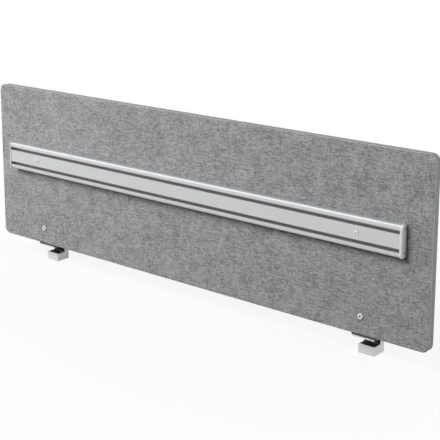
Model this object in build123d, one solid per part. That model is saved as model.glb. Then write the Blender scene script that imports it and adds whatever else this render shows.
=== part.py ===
"""Desk-mounted acoustic divider screen with an organiser rail and two screw clamps.

Lengths are millimetres. X runs along the screen, +Y away from the user, +Z up.
The origin lies on the desk's upper rear edge, midway between the two clamps.
"""
from build123d import *
import os

# Panel, as a whole
PANEL_LENGTH = 1600.0
PANEL_HEIGHT = 500.0
PANEL_THICKNESS = 25.0
PANEL_CORNER_RADIUS = 20.0
PANEL_SETBACK = 36.0            # desk's rear edge to the panel's rear face

# Covers, wadding and edge band
COVER_THICKNESS = 1.0
COVER_EDGE_RADIUS = 2.2
WADDING_THICKNESS = 2.0
EDGE_BAND_THICKNESS = 1.0

# Timber frame inside the panel
FRAME_MEMBER_WIDTH = 40.0
BATTEN_HEIGHT = 60.0
CLAMP_BLOCK_WIDTH = 120.0
CLAMP_BLOCK_HEIGHT = 70.0
DOWEL_DIAMETER = 8.0
DOWEL_LENGTH = 30.0
DOWEL_PITCH = 20.0
DOWEL_CLEARANCE = 0.05

# Organiser rail, an extrusion with two accessory channels
RAIL_SETBACK = 75.0             # panel's end to the rail's end
RAIL_LENGTH = PANEL_LENGTH - 2 * RAIL_SETBACK
RAIL_HEIGHT = 86.0
RAIL_DEPTH = 26.0
RAIL_CORNER_RADIUS = 10.0
RAIL_CENTRE_HEIGHT = 277.5      # panel's lower edge to the rail's middle
RAIL_WALL = 2.0
CHANNEL_OFFSET = 23.6           # rail's middle to each channel's middle
CHANNEL_MOUTH = 9.8
CHANNEL_HEIGHT = 17.0
CHANNEL_DEPTH = 12.5
CHANNEL_LIP = 1.8
CHANNEL_LIP_RADIUS = 0.8
PORT_DIAMETER = 3.4
PORT_WALL = 1.5
PORT_OFFSET = 31.0              # rail's middle to each screw port

# End caps of the rail
CAP_THICKNESS = 5.0
CAP_PROUD = 1.5
CAP_EDGE_RADIUS = 2.2
CAP_PLUG_LENGTH = 10.0
CAP_PLUG_CLEARANCE = 0.25
CAP_PLUG_WALL = 2.5
CAP_SCREW_DIAMETER = 3.2
CAP_SCREW_LENGTH = 16.0
CAP_SCREW_HEAD_DIAMETER = 7.6
CAP_SCREW_HEAD_HEIGHT = 2.2
CAP_SCREW_SOCKET = 2.5
CAP_SCREW_SOCKET_DEPTH = 1.2

# Screws that hold the rail, and their threaded inserts
RAIL_SCREW_INSET = 125.0        # rail's end to the screw nearest it
RAIL_SCREW_SPACING = RAIL_LENGTH - 2 * RAIL_SCREW_INSET
RAIL_SCREW_DIAMETER = 6.0
RAIL_SCREW_LENGTH = 38.0
RAIL_SCREW_HEAD_DIAMETER = 12.0
RAIL_SCREW_HEAD_HEIGHT = 3.2
RAIL_SCREW_HEAD_ROUND = 1.8
RAIL_SCREW_SOCKET = 4.0
RAIL_SCREW_SOCKET_DEPTH = 2.0
INSERT_DIAMETER = 10.0
INSERT_LENGTH = 12.0
SCREW_HOLE_CLEARANCE = 0.3

# Clamps: where they stand, and the bolt that ties each one to the panel
CLAMP_INSET = 197.5             # panel's end to the clamp's middle
CLAMP_SPACING = PANEL_LENGTH - 2 * CLAMP_INSET
BOLT_HEIGHT = 50.0              # panel's lower edge to the bolt
BOLT_DIAMETER = 8.0
BOLT_HEAD_DIAMETER = 11.0
BOLT_HEAD_HEIGHT = 3.2
BOLT_SOCKET = 5.0
BOLT_SOCKET_DEPTH = 2.4
BOLT_GRIP_PAST_WASHER = 9.0
CUP_WASHER_DIAMETER = 16.0
CUP_WASHER_HEIGHT = 3.4
CUP_WASHER_LIP = 1.2
CUP_WASHER_ROUND = 1.0
SLEEVE_WALL = 1.8
WASHER_DIAMETER = 17.0
WASHER_THICKNESS = 1.6
NUT_WIDTH = 13.0
NUT_HEX_HEIGHT = 6.5
NUT_DOME_DIAMETER = 12.0
NUT_BORE_PAST_BOLT = 1.0
NUT_BORE_CLEARANCE = 0.05
BOLT_CLEARANCE = 0.2

# Clamp bracket, a casting
FOOT_PLATE_THICKNESS = 4.0
FOOT_PLATE_WIDTH = 70.0
FOOT_PLATE_OFFSET = 8.0         # bolt's axis to the plate's middle, to the user's right
FOOT_PLATE_INSET = 1.0          # panel's front face to the plate's front edge
FOOT_PLATE_CORNER_RADIUS = 4.0
FOOT_PLATE_TAPER_LENGTH = 18.0
TONGUE_THICKNESS = 4.0
TONGUE_WIDTH = 50.0
TONGUE_HEIGHT = 75.0            # above the panel's lower edge
TONGUE_CORNER_RADIUS = 12.0
GUSSET_REACH = 22.0
GUSSET_THICKNESS = 4.0
GUSSET_SPACING = 34.0
LEG_THICKNESS = 6.0
LEG_RIB_WIDTH = 9.0
SHELF_THICKNESS = 5.0
SHELF_FRONT_GAP = 0.5
BRACKET_SIDE_CLEARANCE = 0.5
BRACKET_ROOT_RADIUS = 2.0
BOSS_WALL = 2.5

# Pads that the clamp puts against the panel and the desk
PACKER_THICKNESS = 4.5
PACKER_EDGE_RADIUS = 0.8
FOOT_PAD_THICKNESS = 1.5
FOOT_PAD_INSET = 6.0
FOOT_PAD_CORNER_RADIUS = 3.0

# Lower jaw: moulded shell, liner and the moving pad
THROAT_HEIGHT = 29.0            # desk top to the jaw's rim
JAW_WIDTH = 50.0
JAW_REACH = 30.0                # desk's rear edge to the jaw's front
JAW_HEIGHT = 25.0
COLUMN_DEPTH = 18.0
SHELL_WALL = 2.0
SHELL_EDGE_RADIUS = 1.6
SHELL_SCREW_ACCESS = 11.0
LINER_THICKNESS = 2.0
LINER_CLEARANCE = 0.2
PAD_BELOW_RIM = 1.0
PAD_THICKNESS = 3.0
PAD_CLEARANCE = 0.5
PAD_CORNER_RADIUS = 1.5
PLATE_THICKNESS = 3.0
PLATE_INSET = 1.5

# Jack screw, its nut and its clip
JACK_DIAMETER = 8.0
JACK_RECESS = 0.5
JACK_SOCKET = 4.0
JACK_SOCKET_DEPTH = 4.0
JACK_EDGE_CHAMFER = 0.8
JACK_TIP_DIAMETER = 5.0
JACK_TIP_PAST_PLATE = 1.1
JACK_SHOULDER_GAP = 0.1
JACK_CLEARANCE = 0.05
JACK_NUT_DIAMETER = 12.0
JACK_NUT_HEIGHT = 12.5
JACK_NUT_FLANGE_DIAMETER = 15.0
JACK_NUT_FLANGE_HEIGHT = 1.2
CLIP_DIAMETER = 8.6
CLIP_THICKNESS = 0.6
CLIP_GROOVE_DEPTH = 0.5
CLIP_GAP = 0.1
CLIP_MOUTH = 3.0
CLIP_POCKET_DIAMETER = 11.0
CLIP_POCKET_PAST_TIP = 0.3

# Screws that fix the shell to the bracket
SHELL_SCREW_DIAMETER = 3.0
SHELL_SCREW_LENGTH = 7.0
SHELL_SCREW_HEAD_DIAMETER = 5.8
SHELL_SCREW_HEAD_HEIGHT = 1.5
SHELL_SCREW_SOCKET = 1.8
SHELL_SCREW_SOCKET_DEPTH = 1.0
SHELL_SCREW_DROP = 9.0          # foot plate's underside to the upper screw
SHELL_SCREW_PITCH = 30.0

OVERRUN = 2.0                   # how far a cutter runs past the face it cuts

# Depths, from the desk's rear edge
PANEL_BACK = -PANEL_SETBACK
PANEL_FRONT = PANEL_BACK - PANEL_THICKNESS
SKIN_DEPTH = COVER_THICKNESS + WADDING_THICKNESS
FRAME_FRONT = PANEL_FRONT + SKIN_DEPTH
FRAME_BACK = PANEL_BACK - SKIN_DEPTH
RAIL_FRONT = PANEL_FRONT - RAIL_DEPTH
TONGUE_BACK = PANEL_BACK + TONGUE_THICKNESS
FOOT_PLATE_FRONT = PANEL_FRONT + FOOT_PLATE_INSET
LEG_FRONT = LINER_THICKNESS
LEG_BACK = LEG_FRONT + LEG_THICKNESS
JAW_FRONT = -JAW_REACH
SHELL_INSIDE_FRONT = JAW_FRONT + SHELL_WALL
SHELL_INSIDE_BACK = COLUMN_DEPTH - SHELL_WALL
JACK_DEPTH = SHELL_INSIDE_FRONT / 2

# Heights, from the desk top
FOOT_PLATE_BOTTOM = FOOT_PAD_THICKNESS
FOOT_PLATE_TOP = FOOT_PLATE_BOTTOM + FOOT_PLATE_THICKNESS
PANEL_BOTTOM = FOOT_PLATE_TOP + PACKER_THICKNESS
PANEL_TOP = PANEL_BOTTOM + PANEL_HEIGHT
RAIL_MIDDLE = PANEL_BOTTOM + RAIL_CENTRE_HEIGHT
BOLT_LEVEL = PANEL_BOTTOM + BOLT_HEIGHT
JAW_RIM = -THROAT_HEIGHT
JAW_BOTTOM = JAW_RIM - JAW_HEIGHT
SHELF_BOTTOM = JAW_BOTTOM + SHELL_WALL
SHELF_TOP = SHELF_BOTTOM + SHELF_THICKNESS
PAD_TOP = JAW_RIM - PAD_BELOW_RIM
PAD_BOTTOM = PAD_TOP - PAD_THICKNESS
PLATE_BOTTOM = PAD_BOTTOM - PLATE_THICKNESS
JACK_TIP_TOP = PAD_BOTTOM + JACK_TIP_PAST_PLATE

# Widths inside the panel and the jaw
INNER_LENGTH = PANEL_LENGTH - 2 * EDGE_BAND_THICKNESS
JAW_INSIDE_WIDTH = JAW_WIDTH - 2 * SHELL_WALL
BRACKET_WIDTH = JAW_INSIDE_WIDTH - 2 * BRACKET_SIDE_CLEARANCE
PAD_WIDTH = JAW_INSIDE_WIDTH - 2 * PAD_CLEARANCE
SLEEVE_BORE_RADIUS = BOLT_DIAMETER / 2 + BOLT_CLEARANCE
SLEEVE_RADIUS = SLEEVE_BORE_RADIUS + SLEEVE_WALL
SCREW_X = RAIL_SCREW_SPACING / 2
CLAMP_X = CLAMP_SPACING / 2


# Basic forms

def upright(depth):
    """Sketch plane that faces the user, at one depth."""
    return Plane(origin=(0, depth, 0), x_dir=(1, 0, 0), z_dir=(0, -1, 0))


def slab(x_range, y_range, z_range):
    """Straight block between three pairs of limits."""
    low = Vector(x_range[0], y_range[0], z_range[0])
    high = Vector(x_range[1], y_range[1], z_range[1])
    size = high - low
    return Pos(*((low + high) / 2)) * Box(size.X, size.Y, size.Z)


def side_profile(points, width):
    """Outline in depth and height, extruded evenly to both sides of x = 0."""
    outline = make_face(Polyline(*points, close=True))
    return extrude(Plane.YZ * outline, amount=width / 2, both=True)


def facing_user(solid, x, depth, height):
    """Turn a solid made about +Z so that its +Z end faces the user."""
    return Pos(x, depth, height) * Rot(90, 0, 0) * solid


def peg(radius, bottom, top):
    """Cylinder about Z between two heights."""
    return Pos(0, 0, (bottom + top) / 2) * Cylinder(radius, top - bottom)


def hex_socket(width, depth, top):
    """Cutter for a hexagon socket that opens at the given height."""
    outline = RegularPolygon(width / 2, 6, major_radius=False)
    return extrude(Pos(0, 0, top - depth) * outline, amount=depth + OVERRUN)


def countersunk_screw(diameter, length, head_diameter, head_height, socket, socket_depth):
    """Screw about Z with its flat head's face at z = 0 and its shank below."""
    half = diameter / 2
    head = [(0, 0), (head_diameter / 2, 0), (half, -head_height)]
    outline = make_face(Polyline(*head, (half, -length), (0, -length), close=True))
    body = revolve(Plane.XZ * outline, Axis.Z)
    return body - hex_socket(socket, socket_depth, 0)


def button_screw(diameter, length, head_diameter, head_height, round_over, socket, socket_depth):
    """Screw about Z with a rounded head above z = 0 and its shank below."""
    head = peg(head_diameter / 2, 0, head_height)
    head = fillet(head.edges().sort_by(Axis.Z)[-1], round_over)
    return head + peg(diameter / 2, -length, 0) - hex_socket(socket, socket_depth, head_height)


def pair(solid, x):
    """The same solid at +x and -x."""
    return [Pos(-x, 0, 0) * solid, Pos(x, 0, 0) * solid]


# Panel

def rounded_board(inset, front, back, edge_radius, edge_at_front):
    """Board of the panel's outline less an inset, with one face's edge rounded."""
    outline = RectangleRounded(PANEL_LENGTH - 2 * inset, PANEL_HEIGHT - 2 * inset,
                               PANEL_CORNER_RADIUS - inset)
    middle = (PANEL_BOTTOM + PANEL_TOP) / 2
    board = extrude(upright(back) * Pos(0, middle) * outline, amount=back - front)
    if edge_radius:
        faces = board.faces().sort_by(Axis.Y)
        rounded_face = faces[0] if edge_at_front else faces[-1]
        board = fillet(rounded_face.edges(), edge_radius)
    return board


def bores(radius, x_spacing, height, front, back):
    """Two cutters through the panel, left and right, between two depths."""
    cutter = facing_user(peg(radius, -OVERRUN, back - front + OVERRUN), 0, back, height)
    return pair(cutter, x_spacing / 2)


def skin_layers(front, back, at_front):
    """Cover and wadding of one face: a shallow tray of cloth with the wadding in it."""
    inner_front = front + COVER_THICKNESS if at_front else front
    inner_back = back if at_front else back - COVER_THICKNESS
    inner_edge = COVER_EDGE_RADIUS - COVER_THICKNESS
    tray = rounded_board(0, front, back, COVER_EDGE_RADIUS, at_front)
    wadding = rounded_board(COVER_THICKNESS, inner_front, inner_back, inner_edge, at_front)
    cover = tray - wadding
    holes = bores(SLEEVE_RADIUS + BOLT_CLEARANCE, CLAMP_SPACING, BOLT_LEVEL, front, back)
    if at_front:
        screw_radius = RAIL_SCREW_DIAMETER / 2 + SCREW_HOLE_CLEARANCE
        holes += bores(screw_radius, RAIL_SCREW_SPACING, RAIL_MIDDLE, front, back)
    return cover - holes, wadding - holes


def edge_band():
    """Cloth band round the panel's narrow sides, between the two covers."""
    outer = rounded_board(0, FRAME_FRONT, FRAME_BACK, 0, True)
    inner = rounded_board(EDGE_BAND_THICKNESS, FRAME_FRONT, FRAME_BACK, 0, True)
    return outer - inner


def dowels():
    """Dowels at the frame's corners, upright, and at the batten's ends, lying."""
    middle = (FRAME_FRONT + FRAME_BACK) / 2
    half = DOWEL_LENGTH / 2
    pin = peg(DOWEL_DIAMETER / 2, -half, half)
    joint_x = INNER_LENGTH / 2 - FRAME_MEMBER_WIDTH
    stile_x = joint_x + FRAME_MEMBER_WIDTH / 2
    joint_levels = (PANEL_BOTTOM + EDGE_BAND_THICKNESS + FRAME_MEMBER_WIDTH,
                    PANEL_TOP - EDGE_BAND_THICKNESS - FRAME_MEMBER_WIDTH)
    pins = []
    for side in (-1, 1):
        for step in (-1, 1):
            offset = step * DOWEL_PITCH / 2
            for level in joint_levels:
                pins.append(Pos(side * stile_x + offset, middle, level) * pin)
            place = Pos(side * joint_x, middle, RAIL_MIDDLE + offset)
            pins.append(place * Rot(0, 90, 0) * pin)
    return pins


def dowel_holes(pins):
    """Cutters round the dowels, wider and longer by the dowel's clearance."""
    share = (DOWEL_DIAMETER + 2 * DOWEL_CLEARANCE) / DOWEL_DIAMETER
    return [Pos(pin.center()) * (scale(Pos(-pin.center()) * pin, by=share)) for pin in pins]


def frame_members():
    """Timber frame, batten, clamp blocks and the absorber boards between them."""
    board = rounded_board(EDGE_BAND_THICKNESS, FRAME_FRONT, FRAME_BACK, 0, True)
    bottom = PANEL_BOTTOM + EDGE_BAND_THICKNESS
    top = PANEL_TOP - EDGE_BAND_THICKNESS
    end = INNER_LENGTH / 2
    inner_end = end - FRAME_MEMBER_WIDTH
    depth = (FRAME_FRONT, FRAME_BACK)
    low_joint = bottom + FRAME_MEMBER_WIDTH
    high_joint = top - FRAME_MEMBER_WIDTH
    batten_low = RAIL_MIDDLE - BATTEN_HEIGHT / 2
    batten_high = RAIL_MIDDLE + BATTEN_HEIGHT / 2
    block_half = CLAMP_BLOCK_WIDTH / 2
    block_top = low_joint + CLAMP_BLOCK_HEIGHT
    inside = (-inner_end, inner_end)

    pins = dowels()
    pin_holes = dowel_holes(pins)
    sleeve_holes = bores(SLEEVE_RADIUS, CLAMP_SPACING, BOLT_LEVEL, *depth)
    insert_holes = bores(INSERT_DIAMETER / 2, RAIL_SCREW_SPACING, RAIL_MIDDLE,
                         FRAME_FRONT, FRAME_FRONT + INSERT_LENGTH)
    left_block = slab((-CLAMP_X - block_half, -CLAMP_X + block_half), depth, (low_joint, block_top))
    right_block = slab((CLAMP_X - block_half, CLAMP_X + block_half), depth, (low_joint, block_top))
    batten = slab(inside, depth, (batten_low, batten_high))
    return {
        "frame_bottom_rail": board & slab((-end, end), depth, (bottom, low_joint)) - pin_holes,
        "frame_top_rail": board & slab((-end, end), depth, (high_joint, top)) - pin_holes,
        "frame_left_stile": slab((-end, -inner_end), depth, (low_joint, high_joint)) - pin_holes,
        "frame_right_stile": slab((inner_end, end), depth, (low_joint, high_joint)) - pin_holes,
        "rail_batten": batten - insert_holes - pin_holes,
        "left_clamp_block": left_block - sleeve_holes,
        "right_clamp_block": right_block - sleeve_holes,
        "upper_absorber": slab(inside, depth, (batten_high, high_joint)),
        "lower_absorber": slab(inside, depth, (low_joint, batten_low)) - [left_block, right_block],
        "frame_dowels": pins,
    }


# Organiser rail

def rail_section():
    """Extrusion's section: depth towards the panel as local X, height as local Y."""
    outline = RectangleRounded(RAIL_DEPTH, RAIL_HEIGHT, RAIL_CORNER_RADIUS)
    chamber = offset(outline, -RAIL_WALL)
    front = -RAIL_DEPTH / 2
    back = RAIL_DEPTH / 2
    channel_back = front + CHANNEL_DEPTH
    port_x = channel_back + RAIL_WALL + PORT_DIAMETER / 2
    web_y = CHANNEL_OFFSET - (CHANNEL_HEIGHT + RAIL_WALL) / 2
    cuts = []
    ports = []
    for side in (-1, 1):
        middle = side * CHANNEL_OFFSET
        box_depth = CHANNEL_DEPTH + RAIL_WALL
        box = Rectangle(box_depth, CHANNEL_HEIGHT + 2 * RAIL_WALL)
        chamber -= Pos(front + box_depth / 2, middle) * box
        chamber -= Pos(0, side * web_y) * Rectangle(RAIL_DEPTH, RAIL_WALL)
        chamber -= Pos(port_x, side * PORT_OFFSET) * Circle(PORT_DIAMETER / 2 + PORT_WALL)
        throat = Rectangle(CHANNEL_LIP + OVERRUN, CHANNEL_MOUTH)
        cuts.append(Pos(front + (CHANNEL_LIP - OVERRUN) / 2, middle) * throat)
        inside_depth = CHANNEL_DEPTH - CHANNEL_LIP
        room = RectangleRounded(inside_depth, CHANNEL_HEIGHT, CHANNEL_LIP_RADIUS)
        cuts.append(Pos(front + CHANNEL_LIP + inside_depth / 2, middle) * room)
        ports.append(Pos(port_x, side * PORT_OFFSET) * Circle(PORT_DIAMETER / 2))
    groove = Pos(back, 0) * Rot(0, 0, 45) * Rectangle(RAIL_WALL / 2, RAIL_WALL / 2)
    return outline - chamber - cuts - ports - groove, chamber, port_x


def rail_place(x):
    """Plane across the rail at one x, with local X towards the panel and local Y up."""
    middle = RAIL_FRONT + RAIL_DEPTH / 2
    return Plane(origin=(x, middle, RAIL_MIDDLE), x_dir=(0, 1, 0), z_dir=(1, 0, 0))


def organiser_rail():
    section = rail_section()[0]
    rail = extrude(rail_place(-RAIL_LENGTH / 2) * section, amount=RAIL_LENGTH)
    lips = rail.edges().filter_by(Axis.X).group_by(Axis.Y)[0]
    rail = fillet(lips.filter_by(lambda edge: abs(edge.length - RAIL_LENGTH) < OVERRUN),
                  CHANNEL_LIP_RADIUS)
    radius = RAIL_SCREW_DIAMETER / 2 + SCREW_HOLE_CLEARANCE
    return rail - bores(radius, RAIL_SCREW_SPACING, RAIL_MIDDLE, RAIL_FRONT, PANEL_FRONT)


def rail_cap(side):
    """End cap with a hollow plug that goes into the rail's middle chamber."""
    chamber, port_x = rail_section()[1:]
    wide = RAIL_DEPTH + CAP_PROUD
    tall = RAIL_HEIGHT + 2 * CAP_PROUD
    outline = Pos(-CAP_PROUD / 2, 0) * RectangleRounded(wide, tall, RAIL_CORNER_RADIUS + CAP_PROUD)
    end = side * RAIL_LENGTH / 2
    face = rail_place(end) * outline
    cap = extrude(face, amount=side * CAP_THICKNESS)
    outer = cap.faces().sort_by(Axis.X)[-1 if side > 0 else 0]
    cap = fillet(outer.edges(), CAP_EDGE_RADIUS)
    middle_room = chamber.faces().sort_by(lambda room: abs(room.center().Y))[0]
    plug = offset(middle_room, -CAP_PLUG_CLEARANCE)
    plug -= offset(middle_room, -CAP_PLUG_CLEARANCE - CAP_PLUG_WALL)
    cap += extrude(rail_place(end) * plug, amount=-side * CAP_PLUG_LENGTH)
    return cap - [cap_screw_place(side, level, port_x) * cap_screw(SCREW_HOLE_CLEARANCE)
                  for level in (-PORT_OFFSET, PORT_OFFSET)]


def cap_screw(clearance):
    """Countersunk screw of an end cap, or its hole where a clearance is given."""
    grown = 2 * clearance
    if clearance:
        head = Cone(CAP_SCREW_DIAMETER / 2 + clearance, CAP_SCREW_HEAD_DIAMETER / 2 + clearance,
                    CAP_SCREW_HEAD_HEIGHT + clearance)
        sunk = Pos(0, 0, -(CAP_SCREW_HEAD_HEIGHT + clearance) / 2) * head
        return sunk + peg((CAP_SCREW_DIAMETER + grown) / 2, -CAP_SCREW_LENGTH, 0)
    return countersunk_screw(CAP_SCREW_DIAMETER, CAP_SCREW_LENGTH, CAP_SCREW_HEAD_DIAMETER,
                             CAP_SCREW_HEAD_HEIGHT, CAP_SCREW_SOCKET, CAP_SCREW_SOCKET_DEPTH)


def cap_screw_place(side, level, port_x):
    x = side * (RAIL_LENGTH / 2 + CAP_THICKNESS)
    depth = RAIL_FRONT + RAIL_DEPTH / 2 + port_x
    return Pos(x, depth, RAIL_MIDDLE + level) * Rot(0, side * 90, 0)


def rail_fasteners():
    port_x = rail_section()[2]
    caps = [cap_screw_place(side, level, port_x) * cap_screw(0)
            for side in (-1, 1) for level in (-PORT_OFFSET, PORT_OFFSET)]
    screw = button_screw(RAIL_SCREW_DIAMETER, RAIL_SCREW_LENGTH, RAIL_SCREW_HEAD_DIAMETER,
                         RAIL_SCREW_HEAD_HEIGHT, RAIL_SCREW_HEAD_ROUND,
                         RAIL_SCREW_SOCKET, RAIL_SCREW_SOCKET_DEPTH)
    bore = peg(RAIL_SCREW_DIAMETER / 2, -INSERT_LENGTH - OVERRUN, OVERRUN)
    insert = peg(INSERT_DIAMETER / 2, -INSERT_LENGTH, 0) - bore
    return {
        "rail_cap_screws": caps,
        "rail_screws": pair(facing_user(screw, 0, RAIL_FRONT, RAIL_MIDDLE), SCREW_X),
        "rail_inserts": pair(facing_user(insert, 0, FRAME_FRONT, RAIL_MIDDLE), SCREW_X),
    }


# Bolt that ties a clamp to the panel, about x = 0

def bolt_set():
    """Bolt, cup washer, sleeve, rear washer and cap nut."""
    seat = CUP_WASHER_HEIGHT
    shank_end = PANEL_THICKNESS + TONGUE_THICKNESS + WASHER_THICKNESS + BOLT_GRIP_PAST_WASHER
    bolt = countersunk_screw(BOLT_DIAMETER, seat + shank_end, BOLT_HEAD_DIAMETER,
                             BOLT_HEAD_HEIGHT, BOLT_SOCKET, BOLT_SOCKET_DEPTH)
    cup = peg(CUP_WASHER_DIAMETER / 2, 0, seat)
    cup = fillet(cup.edges().sort_by(Axis.Z)[-1], CUP_WASHER_ROUND)
    rim = CUP_WASHER_DIAMETER / 2 - CUP_WASHER_LIP - CUP_WASHER_ROUND
    cup -= peg(SLEEVE_BORE_RADIUS, -OVERRUN, seat + OVERRUN)
    sink = Cone(BOLT_DIAMETER / 2 + BOLT_CLEARANCE, rim, BOLT_HEAD_HEIGHT)
    cup -= Pos(0, 0, seat - BOLT_HEAD_HEIGHT / 2) * sink
    sleeve = peg(SLEEVE_RADIUS, 0, PANEL_THICKNESS)
    sleeve -= peg(SLEEVE_BORE_RADIUS, -OVERRUN, PANEL_THICKNESS + OVERRUN)
    washer = peg(WASHER_DIAMETER / 2, 0, WASHER_THICKNESS)
    washer -= peg(SLEEVE_BORE_RADIUS, -OVERRUN, WASHER_THICKNESS + OVERRUN)
    washer_back = TONGUE_BACK + WASHER_THICKNESS
    return {
        "through_bolt": facing_user(bolt, 0, PANEL_FRONT - seat, BOLT_LEVEL),
        "cup_washer": facing_user(cup, 0, PANEL_FRONT, BOLT_LEVEL),
        "bolt_sleeve": facing_user(sleeve, 0, PANEL_BACK, BOLT_LEVEL),
        "rear_washer": facing_user(washer, 0, washer_back, BOLT_LEVEL),
        "cap_nut": facing_user(cap_nut(), 0, washer_back, BOLT_LEVEL),
    }


def cap_nut():
    """Hexagon nut with a domed cap, seated at z = 0 and standing down -Z."""
    hexagon = RegularPolygon(NUT_WIDTH / 2, 6, major_radius=False)
    dome_radius = NUT_DOME_DIAMETER / 2
    bore_depth = BOLT_GRIP_PAST_WASHER + NUT_BORE_PAST_BOLT
    nut = extrude(hexagon, amount=-NUT_HEX_HEIGHT)
    nut += peg(dome_radius, -bore_depth, -NUT_HEX_HEIGHT)
    nut += Pos(0, 0, -bore_depth) * (Sphere(dome_radius) - peg(NUT_WIDTH, 0, NUT_WIDTH))
    return nut - peg(BOLT_DIAMETER / 2 + NUT_BORE_CLEARANCE, -bore_depth, OVERRUN)


# Clamp, about x = 0

def clamp_bracket():
    """Casting: foot plate, tongue with gussets, rear leg and the shelf in the jaw."""
    left = FOOT_PLATE_OFFSET - FOOT_PLATE_WIDTH / 2
    right = FOOT_PLATE_OFFSET + FOOT_PLATE_WIDTH / 2
    rear_half = JAW_WIDTH / 2
    taper_start = TONGUE_BACK
    taper_end = taper_start + FOOT_PLATE_TAPER_LENGTH
    plan = make_face(Polyline(
        (left, FOOT_PLATE_FRONT), (right, FOOT_PLATE_FRONT), (right, taper_start),
        (rear_half, taper_end), (rear_half, COLUMN_DEPTH), (-rear_half, COLUMN_DEPTH),
        (-rear_half, taper_end), (left, taper_start), close=True))
    plan = fillet(plan.vertices(), FOOT_PLATE_CORNER_RADIUS)
    plate = extrude(Pos(0, 0, FOOT_PLATE_BOTTOM) * plan, amount=FOOT_PLATE_THICKNESS)

    tongue_top = PANEL_BOTTOM + TONGUE_HEIGHT
    tongue_height = tongue_top - FOOT_PLATE_BOTTOM
    face = Pos(0, FOOT_PLATE_BOTTOM + tongue_height / 2) * Rectangle(TONGUE_WIDTH, tongue_height)
    face = fillet(face.vertices().group_by(Axis.Y)[-1], TONGUE_CORNER_RADIUS)
    tongue = extrude(upright(TONGUE_BACK) * face, amount=TONGUE_THICKNESS)

    gusset = side_profile([(TONGUE_BACK, FOOT_PLATE_TOP), (TONGUE_BACK + GUSSET_REACH, FOOT_PLATE_TOP),
                           (TONGUE_BACK, FOOT_PLATE_TOP + GUSSET_REACH)], GUSSET_THICKNESS)

    shelf_front = SHELL_INSIDE_FRONT + SHELF_FRONT_GAP
    hook = side_profile([(LEG_BACK, FOOT_PLATE_BOTTOM), (LEG_FRONT, FOOT_PLATE_BOTTOM),
                         (LEG_FRONT, SHELF_TOP), (shelf_front, SHELF_TOP),
                         (shelf_front, SHELF_BOTTOM), (LEG_BACK, SHELF_BOTTOM)], BRACKET_WIDTH)
    crease = hook.edges().filter_by(Axis.X).sort_by_distance((0, LEG_FRONT, SHELF_TOP))[0]
    hook = fillet(crease, BRACKET_ROOT_RADIUS)
    rib = slab((-LEG_RIB_WIDTH / 2, LEG_RIB_WIDTH / 2), (LEG_BACK, SHELL_INSIDE_BACK),
               (SHELF_BOTTOM, FOOT_PLATE_BOTTOM))
    nut_top = SHELF_BOTTOM + JACK_NUT_HEIGHT
    boss = Pos(0, JACK_DEPTH) * peg(JACK_NUT_DIAMETER / 2 + BOSS_WALL, SHELF_TOP, nut_top)

    bracket = plate + tongue + pair(gusset, GUSSET_SPACING / 2) + hook + rib + boss
    bracket -= Pos(0, JACK_DEPTH) * jack_nut_body()
    bracket -= facing_user(peg(SLEEVE_BORE_RADIUS, -OVERRUN, TONGUE_THICKNESS + OVERRUN),
                           0, TONGUE_BACK, BOLT_LEVEL)
    return bracket - shell_screw_bodies(SHELL_SCREW_DIAMETER)


def jack_nut_body():
    """Flanged nut without its bore; it also cuts its own seat in the bracket."""
    flange = peg(JACK_NUT_FLANGE_DIAMETER / 2, SHELF_BOTTOM, SHELF_BOTTOM + JACK_NUT_FLANGE_HEIGHT)
    return flange + peg(JACK_NUT_DIAMETER / 2, SHELF_BOTTOM, SHELF_BOTTOM + JACK_NUT_HEIGHT)


def shell_screw_bodies(diameter):
    """Plain shanks of the two shell screws, along their holes from the rear."""
    levels = (FOOT_PLATE_BOTTOM - SHELL_SCREW_DROP,
              FOOT_PLATE_BOTTOM - SHELL_SCREW_DROP - SHELL_SCREW_PITCH)
    shank = Pos(0, 0, -SHELL_SCREW_LENGTH / 2) * Cylinder(diameter / 2, SHELL_SCREW_LENGTH)
    return [Pos(0, COLUMN_DEPTH, level) * Rot(-90, 0, 0) * shank for level in levels]


def shell_screws():
    screw = countersunk_screw(SHELL_SCREW_DIAMETER, SHELL_SCREW_LENGTH, SHELL_SCREW_HEAD_DIAMETER,
                              SHELL_SCREW_HEAD_HEIGHT, SHELL_SCREW_SOCKET, SHELL_SCREW_SOCKET_DEPTH)
    levels = (FOOT_PLATE_BOTTOM - SHELL_SCREW_DROP,
              FOOT_PLATE_BOTTOM - SHELL_SCREW_DROP - SHELL_SCREW_PITCH)
    return [Pos(0, COLUMN_DEPTH, level) * Rot(-90, 0, 0) * screw for level in levels]


def clamp_shell():
    """Moulded cover of the lower jaw and the column, open above the jaw and at the throat."""
    def body(width, front, back, bottom, rim, throat_front, top):
        return side_profile([(front, bottom), (back, bottom), (back, top), (throat_front, top),
                             (throat_front, rim), (front, rim)], width)

    outer = body(JAW_WIDTH, JAW_FRONT, COLUMN_DEPTH, JAW_BOTTOM, JAW_RIM, 0, FOOT_PLATE_BOTTOM)
    round_edges = outer.edges().filter_by(Axis.Z)
    round_edges += outer.edges().filter_by(Axis.X).group_by(Axis.Z)[0]
    round_edges += outer.edges().filter_by(Axis.Y).group_by(Axis.Z)[0]
    throat_edges = [edge for edge in round_edges if abs(edge.center().Y) < OVERRUN / 2]
    outer = fillet([edge for edge in round_edges if edge not in throat_edges], SHELL_EDGE_RADIUS)
    room = body(JAW_INSIDE_WIDTH, SHELL_INSIDE_FRONT, SHELL_INSIDE_BACK, SHELF_BOTTOM,
                JAW_RIM + OVERRUN, -OVERRUN, FOOT_PLATE_BOTTOM + OVERRUN)
    shell = outer - room
    shell -= Pos(0, JACK_DEPTH) * peg(SHELL_SCREW_ACCESS / 2, JAW_BOTTOM - OVERRUN,
                                      SHELF_BOTTOM + OVERRUN)
    return shell - shell_screw_seats()


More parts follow.
